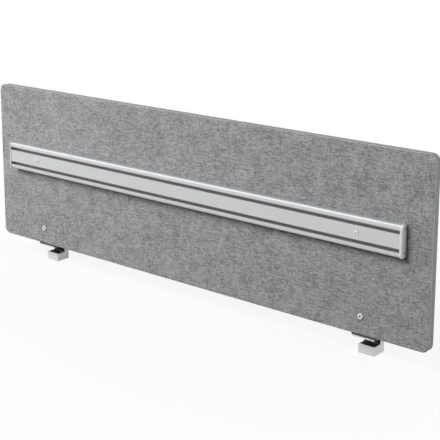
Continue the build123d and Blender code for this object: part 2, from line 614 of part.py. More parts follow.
def shell_screw_seats():
    """Countersunk seats in the shell's rear wall, the screws' own size."""
    return [screw + seat for screw, seat in
            zip(shell_screws(), shell_screw_bodies(SHELL_SCREW_SOCKET + SCREW_HOLE_CLEARANCE))]


def clamp_liner():
    """Dark liner plate that the desk's edge meets."""
    half = JAW_INSIDE_WIDTH / 2 - LINER_CLEARANCE
    return slab((-half, half), (0, LINER_THICKNESS), (JAW_RIM, FOOT_PLATE_BOTTOM))


def packer():
    """Strip between the panel's lower edge and the foot plate."""
    left = FOOT_PLATE_OFFSET - FOOT_PLATE_WIDTH / 2
    right = FOOT_PLATE_OFFSET + FOOT_PLATE_WIDTH / 2
    strip = slab((left, right), (FOOT_PLATE_FRONT, PANEL_BACK), (FOOT_PLATE_TOP, PANEL_BOTTOM))
    return fillet(strip.edges().filter_by(Axis.Z), PACKER_EDGE_RADIUS)


def foot_pad():
    """Anti-slip pad under the foot plate; its underside rests on the desk."""
    front = FOOT_PLATE_FRONT + FOOT_PAD_INSET
    back = -FOOT_PAD_INSET
    width = FOOT_PLATE_WIDTH - 2 * FOOT_PAD_INSET - 2 * FOOT_PLATE_CORNER_RADIUS
    outline = RectangleRounded(width, back - front, FOOT_PAD_CORNER_RADIUS)
    place = Pos(FOOT_PLATE_OFFSET, (front + back) / 2)
    return extrude(place * outline, amount=FOOT_PAD_THICKNESS)


def moving_pad():
    """Pressure plate and the rubber pad on it, with the pocket for the clip."""
    front = SHELL_INSIDE_FRONT + PAD_CLEARANCE
    back = -PAD_CLEARANCE
    middle = (front + back) / 2
    depth = back - front
    face = RectangleRounded(PAD_WIDTH, depth, PAD_CORNER_RADIUS)
    pad = extrude(Pos(0, middle, PAD_BOTTOM) * face, amount=PAD_THICKNESS)
    pocket_top = JACK_TIP_TOP + CLIP_POCKET_PAST_TIP
    pad -= Pos(0, JACK_DEPTH) * peg(CLIP_POCKET_DIAMETER / 2, PAD_BOTTOM - OVERRUN, pocket_top)
    smaller = RectangleRounded(PAD_WIDTH - 2 * PLATE_INSET, depth - 2 * PLATE_INSET,
                               PAD_CORNER_RADIUS)
    plate = extrude(Pos(0, middle, PLATE_BOTTOM) * smaller, amount=PLATE_THICKNESS)
    plate -= Pos(0, JACK_DEPTH) * peg(JACK_TIP_DIAMETER / 2 + JACK_CLEARANCE,
                                      PLATE_BOTTOM - OVERRUN, PAD_BOTTOM + OVERRUN)
    return {"pressure_pad": pad, "pressure_plate": plate}


def jack_screw():
    """Screw turned from below; its tip carries the pressure plate and a clip."""
    bottom = JAW_BOTTOM + JACK_RECESS
    shoulder = PLATE_BOTTOM - JACK_SHOULDER_GAP
    body = peg(JACK_DIAMETER / 2, bottom, shoulder)
    body = chamfer(body.edges().group_by(Axis.Z)[0], JACK_EDGE_CHAMFER)
    body += peg(JACK_TIP_DIAMETER / 2, shoulder, JACK_TIP_TOP)
    hexagon = RegularPolygon(JACK_SOCKET / 2, 6, major_radius=False)
    body -= extrude(Pos(0, 0, bottom) * hexagon, amount=JACK_SOCKET_DEPTH)
    clip_bottom = PAD_BOTTOM + CLIP_GAP
    clip_top = clip_bottom + CLIP_THICKNESS
    core = JACK_TIP_DIAMETER / 2 - CLIP_GROOVE_DEPTH
    ring = peg(JACK_TIP_DIAMETER, clip_bottom, clip_top) - peg(core, clip_bottom, clip_top)
    body -= ring
    clip = peg(CLIP_DIAMETER / 2, clip_bottom, clip_top)
    clip -= peg(core, clip_bottom - OVERRUN, clip_top + OVERRUN)
    mouth = CLIP_MOUTH / 2
    clip -= slab((-mouth, mouth), (0, CLIP_DIAMETER), (clip_bottom, clip_top))
    return {"jack_screw": Pos(0, JACK_DEPTH) * body, "screw_clip": Pos(0, JACK_DEPTH) * clip}


def jack_nut():
    bore = peg(JACK_DIAMETER / 2 + JACK_CLEARANCE, SHELF_BOTTOM - OVERRUN,
               SHELF_BOTTOM + JACK_NUT_HEIGHT + OVERRUN)
    return Pos(0, JACK_DEPTH) * (jack_nut_body() - bore)


def clamp_pieces():
    """Every piece of one clamp about x = 0, by name."""
    return {
        "clamp_bracket": clamp_bracket(),
        "clamp_shell": clamp_shell(),
        "clamp_liner": clamp_liner(),
        "shell_screws": shell_screws(),
        "packer": packer(),
        "foot_pad": foot_pad(),
        "jack_nut": jack_nut(),
        **moving_pad(),
        **jack_screw(),
        **bolt_set(),
    }


# Whole screen

def all_nodes():
    """Every piece or group of like pieces, by node name."""
    nodes = frame_members()
    nodes["front_cover"], nodes["front_wadding"] = skin_layers(PANEL_FRONT, FRAME_FRONT, True)
    nodes["rear_cover"], nodes["rear_wadding"] = skin_layers(FRAME_BACK, PANEL_BACK, False)
    nodes["edge_band"] = edge_band()
    nodes["organiser_rail"] = organiser_rail()
    nodes["left_rail_cap"] = rail_cap(-1)
    nodes["right_rail_cap"] = rail_cap(1)
    nodes.update(rail_fasteners())
    for name, piece in clamp_pieces().items():
        solids = piece if isinstance(piece, list) else [piece]
        nodes["left_" + name] = [Pos(-CLAMP_X, 0, 0) * solid for solid in solids]
        nodes["right_" + name] = [Pos(CLAMP_X, 0, 0) * solid for solid in solids]
    return nodes


def main():
    os.makedirs("parts", exist_ok=True)
    for name, piece in all_nodes().items():
        solids = piece if isinstance(piece, list) else [piece]
        bodies = [body for solid in solids for body in solid.solids()]
        export_step(Compound(bodies), os.path.join("parts", name + ".step"))


main()
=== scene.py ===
"""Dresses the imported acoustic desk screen: cloth, seams, rail, clamps, studio and camera.

Lengths are metres. X runs along the screen, +Y away from the user, +Z up.
"""
import math

import bmesh
import bpy
import numpy as np
from mathutils import Matrix, Vector


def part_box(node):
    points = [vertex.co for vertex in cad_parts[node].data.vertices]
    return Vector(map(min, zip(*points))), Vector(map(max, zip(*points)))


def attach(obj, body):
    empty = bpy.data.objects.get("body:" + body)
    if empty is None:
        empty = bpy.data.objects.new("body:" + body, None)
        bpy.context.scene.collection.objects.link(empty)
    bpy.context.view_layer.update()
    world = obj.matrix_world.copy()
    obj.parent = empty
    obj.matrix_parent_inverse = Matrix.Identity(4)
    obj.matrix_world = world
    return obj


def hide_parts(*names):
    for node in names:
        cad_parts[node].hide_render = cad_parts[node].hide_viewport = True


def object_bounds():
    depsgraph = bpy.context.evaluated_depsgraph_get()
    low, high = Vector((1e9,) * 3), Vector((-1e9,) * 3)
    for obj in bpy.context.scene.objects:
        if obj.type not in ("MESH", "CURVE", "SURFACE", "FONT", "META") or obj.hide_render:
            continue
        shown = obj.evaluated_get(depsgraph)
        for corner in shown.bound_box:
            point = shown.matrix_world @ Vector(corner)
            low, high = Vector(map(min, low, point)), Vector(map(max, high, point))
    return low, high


bl_info = {
    "name": "Acoustic desk screen",
    "version": (1, 0, 0),
    "blender": (4, 5, 0),
    "location": "View3D > Sidebar > Screen",
    "description": "Dresses the packed desk screen with cloth, seams, metal and plastic",
    "category": "Object",
}

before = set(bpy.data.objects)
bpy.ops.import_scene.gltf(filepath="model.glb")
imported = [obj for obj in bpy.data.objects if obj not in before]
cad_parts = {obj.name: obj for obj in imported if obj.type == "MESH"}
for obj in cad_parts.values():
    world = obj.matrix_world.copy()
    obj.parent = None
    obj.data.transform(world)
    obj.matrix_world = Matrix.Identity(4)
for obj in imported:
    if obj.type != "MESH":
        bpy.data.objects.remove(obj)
cad_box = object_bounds()

MM = 0.001
SIDES = ("left_", "right_")

# Panel and bolts, from the frame
FRONT_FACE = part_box("front_cover")[0].y
REAR_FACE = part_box("rear_cover")[1].y
PANEL_LOW, PANEL_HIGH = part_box("edge_band")
BAND_FRONT, BAND_REAR = PANEL_LOW.y, PANEL_HIGH.y
BOLTS = [sum(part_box(side + "cup_washer"), Vector()) / 2 for side in SIDES]

# Panel's outline and the points on it
PANEL_CORNER = 20 * MM
SMALLEST_CORNER = 0.5 * MM
CORNER_POINTS = 12
STRAIGHT_STEP = 12 * MM

# Cloth faces: the turned edge, the rolled edge, and the flat part with its grid
ROLL_STEPS = 6
GRID_INSET = 19 * MM
FLAT_INSETS = (4 * MM, 7 * MM, 11 * MM, 16 * MM, GRID_INSET)
GRID_STEP = 14 * MM
DIMPLE_REACH = 13 * MM
REAR_DIMPLE_SHARE = 0.6

# Side band: rows across it, and how far and how sharply the seams draw it in
BAND_ROWS = 9
BAND_TUCK = 0.35 * MM
BAND_TUCK_POWER = 8

# Seams
WELT_SIDES = 10
STITCH_SIDES = 6

# Clean-up of meshes
CLOTH_MERGE = 0.01 * MM
SOLID_MERGE = 0.005 * MM
FLAT_ANGLE = math.radians(1)
BEVEL_ANGLE = math.radians(40)
BEVEL_SEGMENTS = 2

# Heads of the screws that face the user, and the width of the painted shade in their key sockets
RAIL_HEAD_RADIUS = 6 * MM
RAIL_SOCKET_SHADE_WIDTH = 4.0 * MM
BOLT_SOCKET_SHADE_WIDTH = 4.8 * MM

# Floor
FLOOR_HALF = 30.0
FLOOR_GAP = 0.2 * MM

# Lamps: width, depth, place, target, and whether gloss shows them
LAMPS = {
    "key": (3.8, 3.8, (-1.4, -5.0, 3.9), (-1.0, -3.3, 0.0), False),
    "side": (0.5, 1.0, (3.0, 0.22, 0.75), (0.8, 0.0, 0.2), True),
    "low": (0.8, 0.8, (-2.6, -1.2, 0.25), (-0.8, 0.0, 0.2), False),
    "rear": (1.8, 1.8, (-1.1, 4.6, 1.0), (0.0, 0.0, 0.2), True),
    "strip": (3.4, 0.8, (-2.1, -1.3, 2.3), (-2.1, -0.1, 0.3), True),
}

# Camera, fitted to the built panel, bolts and jaws at a set shift
CAMERA_LENS = 92.524
CAMERA_SENSOR = 36.0
CAMERA_SHIFT = -0.2
CAMERA_PLACE = (2.08035, -2.38226, 1.10616)
CAMERA_TURN = math.radians(39.9894)
CAMERA_TILT = math.radians(-11.7438)
CAMERA_ROLL = math.radians(0.1415)


# Node trees

class Wire:
    """A socket that takes part in Python expressions, each adding its Math node."""

    def __init__(self, tree, socket):
        self.tree = tree
        self.socket = socket

    def _maths(self, operation, *values):
        return self.tree.node("ShaderNodeMath", {"operation": operation}, dict(enumerate(values)))

    def __add__(self, other):
        return self._maths("ADD", self, other)

    def __radd__(self, other):
        return self._maths("ADD", other, self)

    def __sub__(self, other):
        return self._maths("SUBTRACT", self, other)

    def __rsub__(self, other):
        return self._maths("SUBTRACT", other, self)

    def __mul__(self, other):
        return self._maths("MULTIPLY", self, other)

    def __rmul__(self, other):
        return self._maths("MULTIPLY", other, self)

    def __abs__(self):
        return self._maths("ABSOLUTE", self)

    def between(self, low, high):
        """Smooth step from 0 at low to 1 at high."""
        return self.tree.node("ShaderNodeMapRange", {"interpolation_type": "SMOOTHSTEP"}, {
            "Value": self, "From Min": low, "From Max": high})


class Nodes:
    """A node tree, with the one method that adds any node to it."""

    def __init__(self, tree):
        self.nodes, self.links = tree.nodes, tree.links

    def node(self, kind, settings, inputs, output=0):
        """Adds a node with its settings and inputs, and gives one of its outputs."""
        made = self.nodes.new(kind)
        for name, value in settings.items():
            setattr(made, name, value)
        for key, value in inputs.items():
            if isinstance(value, Wire):
                self.links.new(value.socket, made.inputs[key])
            else:
                made.inputs[key].default_value = value
        return Wire(self, made.outputs[output])


class Finish(Nodes):
    """One material with its Principled shader, patterned on Object coordinates."""

    def __init__(self, name, **constants):
        self.material = bpy.data.materials.new(name)
        self.material.use_nodes = True
        super().__init__(self.material.node_tree)
        self.shader = self.nodes["Principled BSDF"]
        for socket, value in constants.items():
            self.shader.inputs[socket.replace("_", " ")].default_value = value
        self.place = self.node("ShaderNodeTexCoord", {}, {}, "Object")

    def part(self, axis):
        """One coordinate of the place."""
        return self.node("ShaderNodeSeparateXYZ", {}, {"Vector": self.place}, axis)

    def stretched(self, x, y, z):
        """The place with each axis scaled, so that noise on it runs in streaks."""
        return self.node("ShaderNodeMapping", {}, {"Vector": self.place, "Scale": (x, y, z)})

    def noise(self, scale=1.0, detail=2.0, roughness=0.55, place=None):
        """Noise from 0 to 1 at the place, or at a stretched one."""
        return self.node("ShaderNodeTexNoise", {}, {
            "Vector": place or self.place, "Scale": scale, "Detail": detail,
            "Roughness": roughness})

    def blend(self, share, first, second):
        """Colour between two, by a share. The Mix node has its two colours at inputs 6 and 7."""
        inputs = {0: share}
        for index, colour in ((6, first), (7, second)):
            inputs[index] = colour if isinstance(colour, Wire) else (*colour, 1.0)
        return self.node("ShaderNodeMix", {"data_type": "RGBA"}, inputs, 2)

    def distance(self, point):
        """Length of a vector."""
        return self.node("ShaderNodeVectorMath", {"operation": "LENGTH"}, {"Vector": point},
                         "Value")

    def feed(self, socket, value):
        """Drives one socket of the shader."""
        self.links.new(value.socket, self.shader.inputs[socket])

    def relief(self, height, depth, strength):
        """Bump of a real depth."""
        self.feed("Normal", self.node("ShaderNodeBump", {}, {
            "Height": height, "Distance": depth, "Strength": strength}))


def shade(value):
    """Linear grey of an sRGB level from 0 to 255."""
    level = value / 255
    return level / 12.92 if level <= 0.04045 else ((level + 0.055) / 1.055) ** 2.4


def grey(value, warm=0.0):
    """Colour of an sRGB level, tinted warm, or cool where warm is below 0."""
    base = shade(value)
    return (base * (1 + warm), base, base * (1 - warm))


# Finishes

def melange_cloth(level, contrast):
    """Felted cloth of light and dark fibres, with soft clouds where they gather."""
    cloth = Finish("melange_cloth", Roughness=0.95, Sheen_Weight=0.12, Sheen_Roughness=0.6,
                   Specular_IOR_Level=0.06)
    clouds = cloth.noise(scale=24.0, detail=3.0)
    tufts = cloth.noise(scale=230.0, detail=4.0, roughness=0.7)
    along = cloth.stretched(80.0, 400.0, 400.0)
    across = cloth.noise(detail=3.0, roughness=0.65, place=along)
    upright = cloth.stretched(400.0, 400.0, 80.0)
    upward = cloth.noise(detail=3.0, roughness=0.65, place=upright)
    fibres = cloth.noise(scale=1100.0, roughness=0.6)
    mixed = 0.10 * clouds + 0.18 * tufts + 0.36 * across + 0.21 * upward + 0.15 * fibres
    dark, light = grey(level - contrast, warm=-0.025), grey(level + contrast, warm=-0.02)
    cloth.feed("Base Color", cloth.blend(mixed.between(0.38, 0.62), dark, light))
    cloth.relief(0.5 * across + 0.5 * upward + fibres, depth=0.5 * MM, strength=0.4)
    return cloth.material


def band_cloth():
    """Smooth close-woven cloth of the narrow sides."""
    cloth = Finish("band_cloth", Roughness=0.9, Sheen_Weight=0.08, Specular_IOR_Level=0.15)
    tufts = cloth.noise(scale=60.0, detail=3.0)
    threads = cloth.noise(scale=700.0)
    share = (0.6 * tufts + 0.4 * threads).between(0.3, 0.7)
    cloth.feed("Base Color", cloth.blend(share, grey(146, warm=-0.01), grey(158, warm=-0.01)))
    cloth.relief(threads, depth=0.25 * MM, strength=0.4)
    return cloth.material


def seam_thread():
    """Twisted thread of the welts and their stitches, lighter than the cloth."""
    thread = Finish("seam_thread", Roughness=0.8, Specular_IOR_Level=0.2)
    twist = thread.noise(scale=900.0)
    thread.feed("Base Color", thread.blend(twist, grey(178), grey(200)))
    thread.relief(twist, depth=0.1 * MM, strength=0.5)
    return thread.material


def satin_extrusion():
    """Anodised aluminium with the fine lengthwise lines of its die, and painted shade inside its
    channels.
    """
    metal = Finish("satin_extrusion", Metallic=0.5, Specular_IOR_Level=0.4)
    lines = metal.noise(roughness=0.5, place=metal.stretched(2.0, 900.0, 900.0))
    patches = metal.noise(scale=3.0)
    low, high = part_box("organiser_rail")
    channel_offset = 23.6 * MM
    mouth_start, mouth_end = 0.6 * MM, 2.4 * MM
    room_edge, wall_edge = 9.2 * MM, 9.8 * MM
    height = metal.part("Z") - (low.z + high.z) / 2
    # Painted shade: beyond the mouths, the metal inside the channels is coloured a darker grey
    from_channel = abs(abs(height) - channel_offset)
    inside = (metal.part("Y") - low.y).between(mouth_start, mouth_end)
    inside = inside * (1 - from_channel.between(room_edge, wall_edge))
    satin = metal.blend(0.7 * lines + 0.3 * patches, grey(203, warm=-0.02), grey(215, warm=-0.02))
    channel_shade_colour = metal.blend(lines, grey(160), grey(176))
    metal.feed("Base Color", metal.blend(inside, satin, channel_shade_colour))
    metal.feed("Roughness", 0.18 + 0.08 * lines + 0.04 * patches)
    metal.relief(lines, depth=0.04 * MM, strength=0.35)
    return metal.material


def moulded_grey(name, level, roughness, silver):
    """Satin moulded plastic with a fine spark texture, under silver lacquer where it has some."""
    plastic = Finish(name, Specular_IOR_Level=0.45, Metallic=silver)
    grain = plastic.noise(scale=1500.0)
    drift = plastic.noise(scale=35.0)
    plastic.feed("Base Color", plastic.blend(drift, grey(level - 5), grey(level + 5)))
    plastic.feed("Roughness", roughness + 0.12 * grain)
    plastic.relief(grain, depth=0.05 * MM, strength=0.35)
    return plastic.material


def powder_coat():
    """Light grey powder coat with its fine orange peel."""
    coat = Finish("powder_coat", Specular_IOR_Level=0.4)
    peel = coat.noise(scale=850.0)
    drift = coat.noise(scale=18.0)
    coat.feed("Base Color", coat.blend(drift, grey(226), grey(236)))
    coat.feed("Roughness", 0.42 + 0.14 * peel)
    coat.relief(peel, depth=0.08 * MM, strength=0.35)
    return coat.material


def plated(name, level, roughness, metallic=1.0, socket=None):
    """Bright plating with handling haze, and painted shade in key sockets where a pair of them is
    given.

    A socket is its distance from the middle of the screen, its height, its rim's depth
    and its width, and its twin lies as far on the other side.
    """
    metal = Finish(name, Metallic=metallic)
    haze = metal.noise(scale=260.0, detail=3.0)
    bright = metal.blend(haze, grey(level - 12), grey(level))
    if socket:
        x, z, rim, width = socket
        shallow, deep, soft_edge = 0.2 * MM, 0.5 * MM, 0.4 * MM
        from_axis = metal.distance(metal.node("ShaderNodeCombineXYZ", {}, {
            "X": abs(metal.part("X")) - x, "Z": metal.part("Z") - z}))
        sunk = (metal.part("Y") - rim).between(shallow, deep)
        socket_shade_mask = sunk * (1 - from_axis.between(width / 2, width / 2 + soft_edge))
        # Painted shade: the sunk middle of the key socket is coloured a darker grey
        bright = metal.blend(socket_shade_mask, bright, grey(150))
    metal.feed("Base Color", bright)
    metal.feed("Roughness", roughness + 0.16 * haze)
    metal.relief(haze, depth=0.02 * MM, strength=0.3)
    return metal.material


def turned_brass():
    """Brass of the threaded inserts."""
    metal = Finish("turned_brass", Metallic=1.0)
    haze = metal.noise(scale=300.0, detail=3.0)
    metal.feed("Base Color", metal.blend(haze, (0.46, 0.31, 0.10), (0.62, 0.44, 0.17)))
    metal.feed("Roughness", 0.25 + 0.2 * haze)
    return metal.material


def dark_moulding(name, level, roughness, grain_scale):
    """Dark plastic or rubber with a matt grain and lighter worn places."""
    dark = Finish(name, Specular_IOR_Level=0.35)
    grain = dark.noise(scale=grain_scale, detail=3.0)
    worn = dark.noise(scale=90.0, detail=3.0)
    dark.feed("Base Color", dark.blend(worn, grey(level), grey(level + 10)))
    dark.feed("Roughness", roughness + 0.15 * grain)
    dark.relief(grain, depth=0.12 * MM, strength=0.5)
    return dark.material


def softwood():
    """Sawn softwood with its growth lines along the screen."""
    wood = Finish("softwood", Specular_IOR_Level=0.3)
    growth = wood.noise(detail=4.0, roughness=0.6, place=wood.stretched(3.0, 120.0, 120.0))
    pores = wood.noise(roughness=0.5, place=wood.stretched(60.0, 900.0, 900.0))
    share = (0.75 * growth + 0.25 * pores).between(0.35, 0.65)
    wood.feed("Base Color", wood.blend(share, (0.42, 0.27, 0.13), (0.68, 0.50, 0.29)))
    wood.feed("Roughness", 0.55 + 0.2 * pores)
    wood.relief(growth, depth=0.2 * MM, strength=0.4)
    return wood.material


def pressed_fibre(name, level):
    """Matted fibres of the fleece and the absorber boards."""
    fibre = Finish(name, Roughness=0.97, Specular_IOR_Level=0.1)
    tufts = fibre.noise(scale=160.0, detail=4.0, roughness=0.7)
    fibre.feed("Base Color", fibre.blend(tufts, grey(level - 14), grey(level + 10)))
    fibre.relief(tufts, depth=0.6 * MM, strength=0.7)
    return fibre.material


# Settings a user would change

class ClothSettings(bpy.types.PropertyGroup):
    level: bpy.props.IntProperty(
        name="Cloth grey", description="Middle grey of the melange cloth, as an sRGB level",
        default=150, min=0, max=255)
    contrast: bpy.props.IntProperty(
        name="Melange contrast", description="Levels from the middle grey to the darkest fibres",
        default=40, min=0, max=120)
    dimple_depth: bpy.props.FloatProperty(
        name="Dimple depth", description="How far a bolt's washer draws the cloth in",
        default=0.5 * MM, min=0.0, unit="LENGTH")
    edge_roll: bpy.props.FloatProperty(
        name="Edge roll", description="Radius of the cloth where it turns over the panel's edge",
        default=2.6 * MM, min=0.0, unit="LENGTH")


class SeamSettings(bpy.types.PropertyGroup):
    welt_radius: bpy.props.FloatProperty(
        name="Welt radius", description="Radius of the welt along each seam",
        default=1.0 * MM, min=0.0, unit="LENGTH")
    stitch_pitch: bpy.props.FloatProperty(
        name="Stitch pitch", description="Distance from one stitch to the next",
        default=4.0 * MM, min=MM, unit="LENGTH")
    stitch_length: bpy.props.FloatProperty(
        name="Stitch length", description="Length of one stitch along the welt",
        default=2.4 * MM, min=0.0, unit="LENGTH")
    stitch_radius: bpy.props.FloatProperty(
        name="Stitch radius", description="Radius of the thread of a stitch",
        default=0.28 * MM, min=0.0, unit="LENGTH")


class StudioSettings(bpy.types.PropertyGroup):
    key_power: bpy.props.FloatProperty(
        name="Key lamp", description="Power of the large lamp in front at the upper left",
        default=396.0, min=0.0, unit="POWER")
    side_power: bpy.props.FloatProperty(
        name="Side lamp", description="Power of the lamp that lights the right narrow side",
        default=31.0, min=0.0, unit="POWER")
    low_power: bpy.props.FloatProperty(
        name="Low lamp", description="Power of the small low lamp at the left",
        default=13.0, min=0.0, unit="POWER")
    rear_power: bpy.props.FloatProperty(
        name="Rear lamp", description="Power of the lamp behind the screen",
        default=130.0, min=0.0, unit="POWER")
    strip_power: bpy.props.FloatProperty(
        name="Strip lamp", description="Power of the long lamp that draws the line along the rail",
        default=17.0, min=0.0, unit="POWER")
    world_level: bpy.props.FloatProperty(
        name="World level", description="Strength of the even light from all round",
        default=0.08, min=0.0, max=1.0, subtype="FACTOR")


# Mesh helpers

def outline_points(inset):
    """Points of the panel's outline less an inset, as (x, z), going round once."""
    low_x, high_x = PANEL_LOW.x + inset, PANEL_HIGH.x - inset
    low_z, high_z = PANEL_LOW.z + inset, PANEL_HIGH.z - inset
    radius = max(PANEL_CORNER - inset, SMALLEST_CORNER)
    centres = ((high_x - radius, high_z - radius), (low_x + radius, high_z - radius),
               (low_x + radius, low_z + radius), (high_x - radius, low_z + radius))
    quarter = math.pi / 2
    arcs = [[(x + radius * math.cos(angle), z + radius * math.sin(angle))
             for angle in np.linspace(turn * quarter, (turn + 1) * quarter, CORNER_POINTS)]
            for turn, (x, z) in enumerate(centres)]
    points = []
    for arc, following in zip(arcs, arcs[1:] + arcs[:1]):
        points += arc
        start, end = np.array(arc[-1]), np.array(following[0])
        count = max(1, round(math.dist(start, end) / STRAIGHT_STEP))
        points += [tuple(start + (end - start) * k / count) for k in range(1, count)]
    return points


def in_scene(name, data):
    """New object at the origin, linked to the scene."""
    made = bpy.data.objects.new(name, data)
    bpy.context.scene.collection.objects.link(made)
    return made


def mesh_object(name, points, faces, edges=()):
    """New mesh object from points and the faces or edges between them."""
    mesh = bpy.data.meshes.new(name)
    mesh.from_pydata(points, edges, faces)
    mesh.validate()
    return in_scene(name, mesh)


def ring_mesh(name, rings):
    """Faces between rings that follow the outline, each ring an inset and a depth."""
    count = len(outline_points(0.0))
    points = [(x, depth, z) for inset, depth in rings for x, z in outline_points(inset)]
    faces = [(first + k, first + (k + 1) % count,
              first + count + (k + 1) % count, first + count + k)
             for first in range(0, (len(rings) - 1) * count, count) for k in range(count)]
    return mesh_object(name, points, faces)


def finish_mesh(piece, material):
    """Faces outwards, smooth shading and one material; it rides on the root."""
    work = bmesh.new()
    work.from_mesh(piece.data)
    bmesh.ops.remove_doubles(work, verts=work.verts, dist=CLOTH_MERGE)
    bmesh.ops.recalc_face_normals(work, faces=work.faces)
    work.to_mesh(piece.data)
    work.free()
    piece.data.shade_smooth()
    piece.data.materials.clear()
    piece.data.materials.append(material)
    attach(piece, "root")
    return piece


def softened_copy(name, node, width, material, body="root"):
    """Copy of a CAD solid with its edges rounded, standing for it."""
    work = bmesh.new()
    work.from_mesh(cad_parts[node].data)
    bmesh.ops.remove_doubles(work, verts=work.verts, dist=SOLID_MERGE)
    bmesh.ops.dissolve_limit(work, angle_limit=FLAT_ANGLE, verts=work.verts, edges=work.edges)
    mesh = bpy.data.meshes.new(name)
    work.to_mesh(mesh)
    work.free()
    mesh.materials.append(material)
    piece = in_scene(name, mesh)
    bevel = piece.modifiers.new("rounding", "BEVEL")
    bevel.width, bevel.segments = width, BEVEL_SEGMENTS
    bevel.limit_method, bevel.angle_limit = "ANGLE", BEVEL_ANGLE
    bevel.use_clamp_overlap = True
    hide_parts(node)
    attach(piece, body)
    return piece


def dress(node, material):
    """Puts one material on a CAD node."""
    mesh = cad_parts[node].data
    mesh.materials.clear()
    mesh.materials.append(material)


# Cloth faces

def edge_rings(face_y, seam_y, roll):
    """Rings from the seam up over the rolled edge and in to where the grid starts."""
    outward = math.copysign(1, face_y - seam_y)
    rings = [(0.0, seam_y), (0.0, face_y - outward * roll)]
    for angle in np.linspace(0, math.pi / 2, ROLL_STEPS + 1)[1:]:
        inset = roll * (1 - math.cos(angle))
        rings.append((inset, face_y - outward * roll * (1 - math.sin(angle))))
    return rings + [(inset, face_y) for inset in FLAT_INSETS]


def only_faces(items):
    """The faces among some elements of a mesh."""
    return [item for item in items if isinstance(item, bmesh.types.BMFace)]


def fill_with_grid(work, rim, face_y):
    """Closes a rim of edges with a flat patch, cut into an even grid."""
    filled = bmesh.ops.triangle_fill(work, edges=rim, use_beauty=True)
    bmesh.ops.dissolve_faces(work, faces=only_faces(filled["geom"]))
    patch = [face for face in work.faces if len(face.verts) > 4]
    for axis in (0, 2):
        low, high = PANEL_LOW[axis] + GRID_INSET, PANEL_HIGH[axis] - GRID_INSET
        for at in np.arange(low + GRID_STEP, high, GRID_STEP):
            point, normal = [0, face_y, 0], [0, 0, 0]
            point[axis], normal[axis] = at, 1
            touched = {item for face in patch for item in (face, *face.verts, *face.edges)}
            cut = bmesh.ops.bisect_plane(work, geom=list(touched), plane_co=point,
                                         plane_no=normal)
            patch = only_faces(cut["geom"])


def hollow_near(x, z, depth):
    """How far the bolts draw the cloth in at a point."""
    nearest = min(math.dist((x, z), (bolt.x, bolt.z)) for bolt in BOLTS)
    return depth * math.exp(-((nearest / DIMPLE_REACH) ** 2))


def cloth_face(name, face_y, seam_y, roll, dimple):
    """Sheet of cloth over one face, turned over the panel's edge down to the seam."""
    rings = edge_rings(face_y, seam_y, roll)
    sheet = ring_mesh(name, rings)
    first_inner = (len(rings) - 1) * len(outline_points(0.0))
    work = bmesh.new()
    work.from_mesh(sheet.data)
    rim = [edge for edge in work.edges if min(end.index for end in edge.verts) >= first_inner]
    fill_with_grid(work, rim, face_y)
    outward = math.copysign(1, face_y - seam_y)
    for vertex in work.verts:
        if abs(vertex.co.y - face_y) < CLOTH_MERGE:
            vertex.co.y -= outward * hollow_near(vertex.co.x, vertex.co.z, dimple)
    work.to_mesh(sheet.data)
    work.free()
    return sheet


class SCREEN_OT_cloth_faces(bpy.types.Operator):
    """Cloth over the front and the rear, turned over the edges"""
    bl_idname = "screen.cloth_faces"
    bl_label = "Cloth faces"

    def execute(self, context):
        settings = context.scene.screen_cloth
        cloth = melange_cloth(settings.level, settings.contrast)
        dimple = settings.dimple_depth
        for name, node, face_y, seam_y, drawn in (
                ("front_cloth", "front_cover", FRONT_FACE, BAND_FRONT, dimple),
                ("rear_cloth", "rear_cover", REAR_FACE, BAND_REAR, REAR_DIMPLE_SHARE * dimple)):
            sheet = cloth_face(name, face_y, seam_y, settings.edge_roll, drawn)
            finish_mesh(sheet, cloth)
            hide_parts(node)
        return {"FINISHED"}


class SCREEN_OT_side_band(bpy.types.Operator):
    """Cloth band round the narrow sides, drawn in a little at its seams"""
    bl_idname = "screen.side_band"
    bl_label = "Side band"

    def execute(self, context):
        width = BAND_REAR - BAND_FRONT
        rings = [(BAND_TUCK * (2 * share - 1) ** BAND_TUCK_POWER, BAND_FRONT + share * width)
                 for share in np.linspace(0, 1, BAND_ROWS)]
        band = finish_mesh(ring_mesh("side_band", rings), band_cloth())
        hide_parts("edge_band")
        outline = outline_points(0.0)
        around = sum(math.dist(*ends) for ends in zip(outline, outline[1:] + outline[:1]))
        return {"FINISHED"}


class SCREEN_OT_inner_layers(bpy.types.Operator):
    """Fleece and absorber boards inside the panel"""
    bl_idname = "screen.inner_layers"
    bl_label = "Inner layers"

    def execute(self, context):
        fleece = pressed_fibre("fleece", level=222)
        board = pressed_fibre("fibre_board", level=205)
        for name, node, width, material, slot in (
                ("front_fleece", "front_wadding", 0.3 * MM, fleece, "wadding"),
                ("rear_fleece", "rear_wadding", 0.3 * MM, fleece, "wadding"),
                ("upper_board", "upper_absorber", 1.0 * MM, board, "absorber_board"),
                ("lower_board", "lower_absorber", 1.0 * MM, board, "absorber_board")):
            softened_copy(name, node, width, material)
        return {"FINISHED"}


# Seams, as a node tree that follows the panel's outline

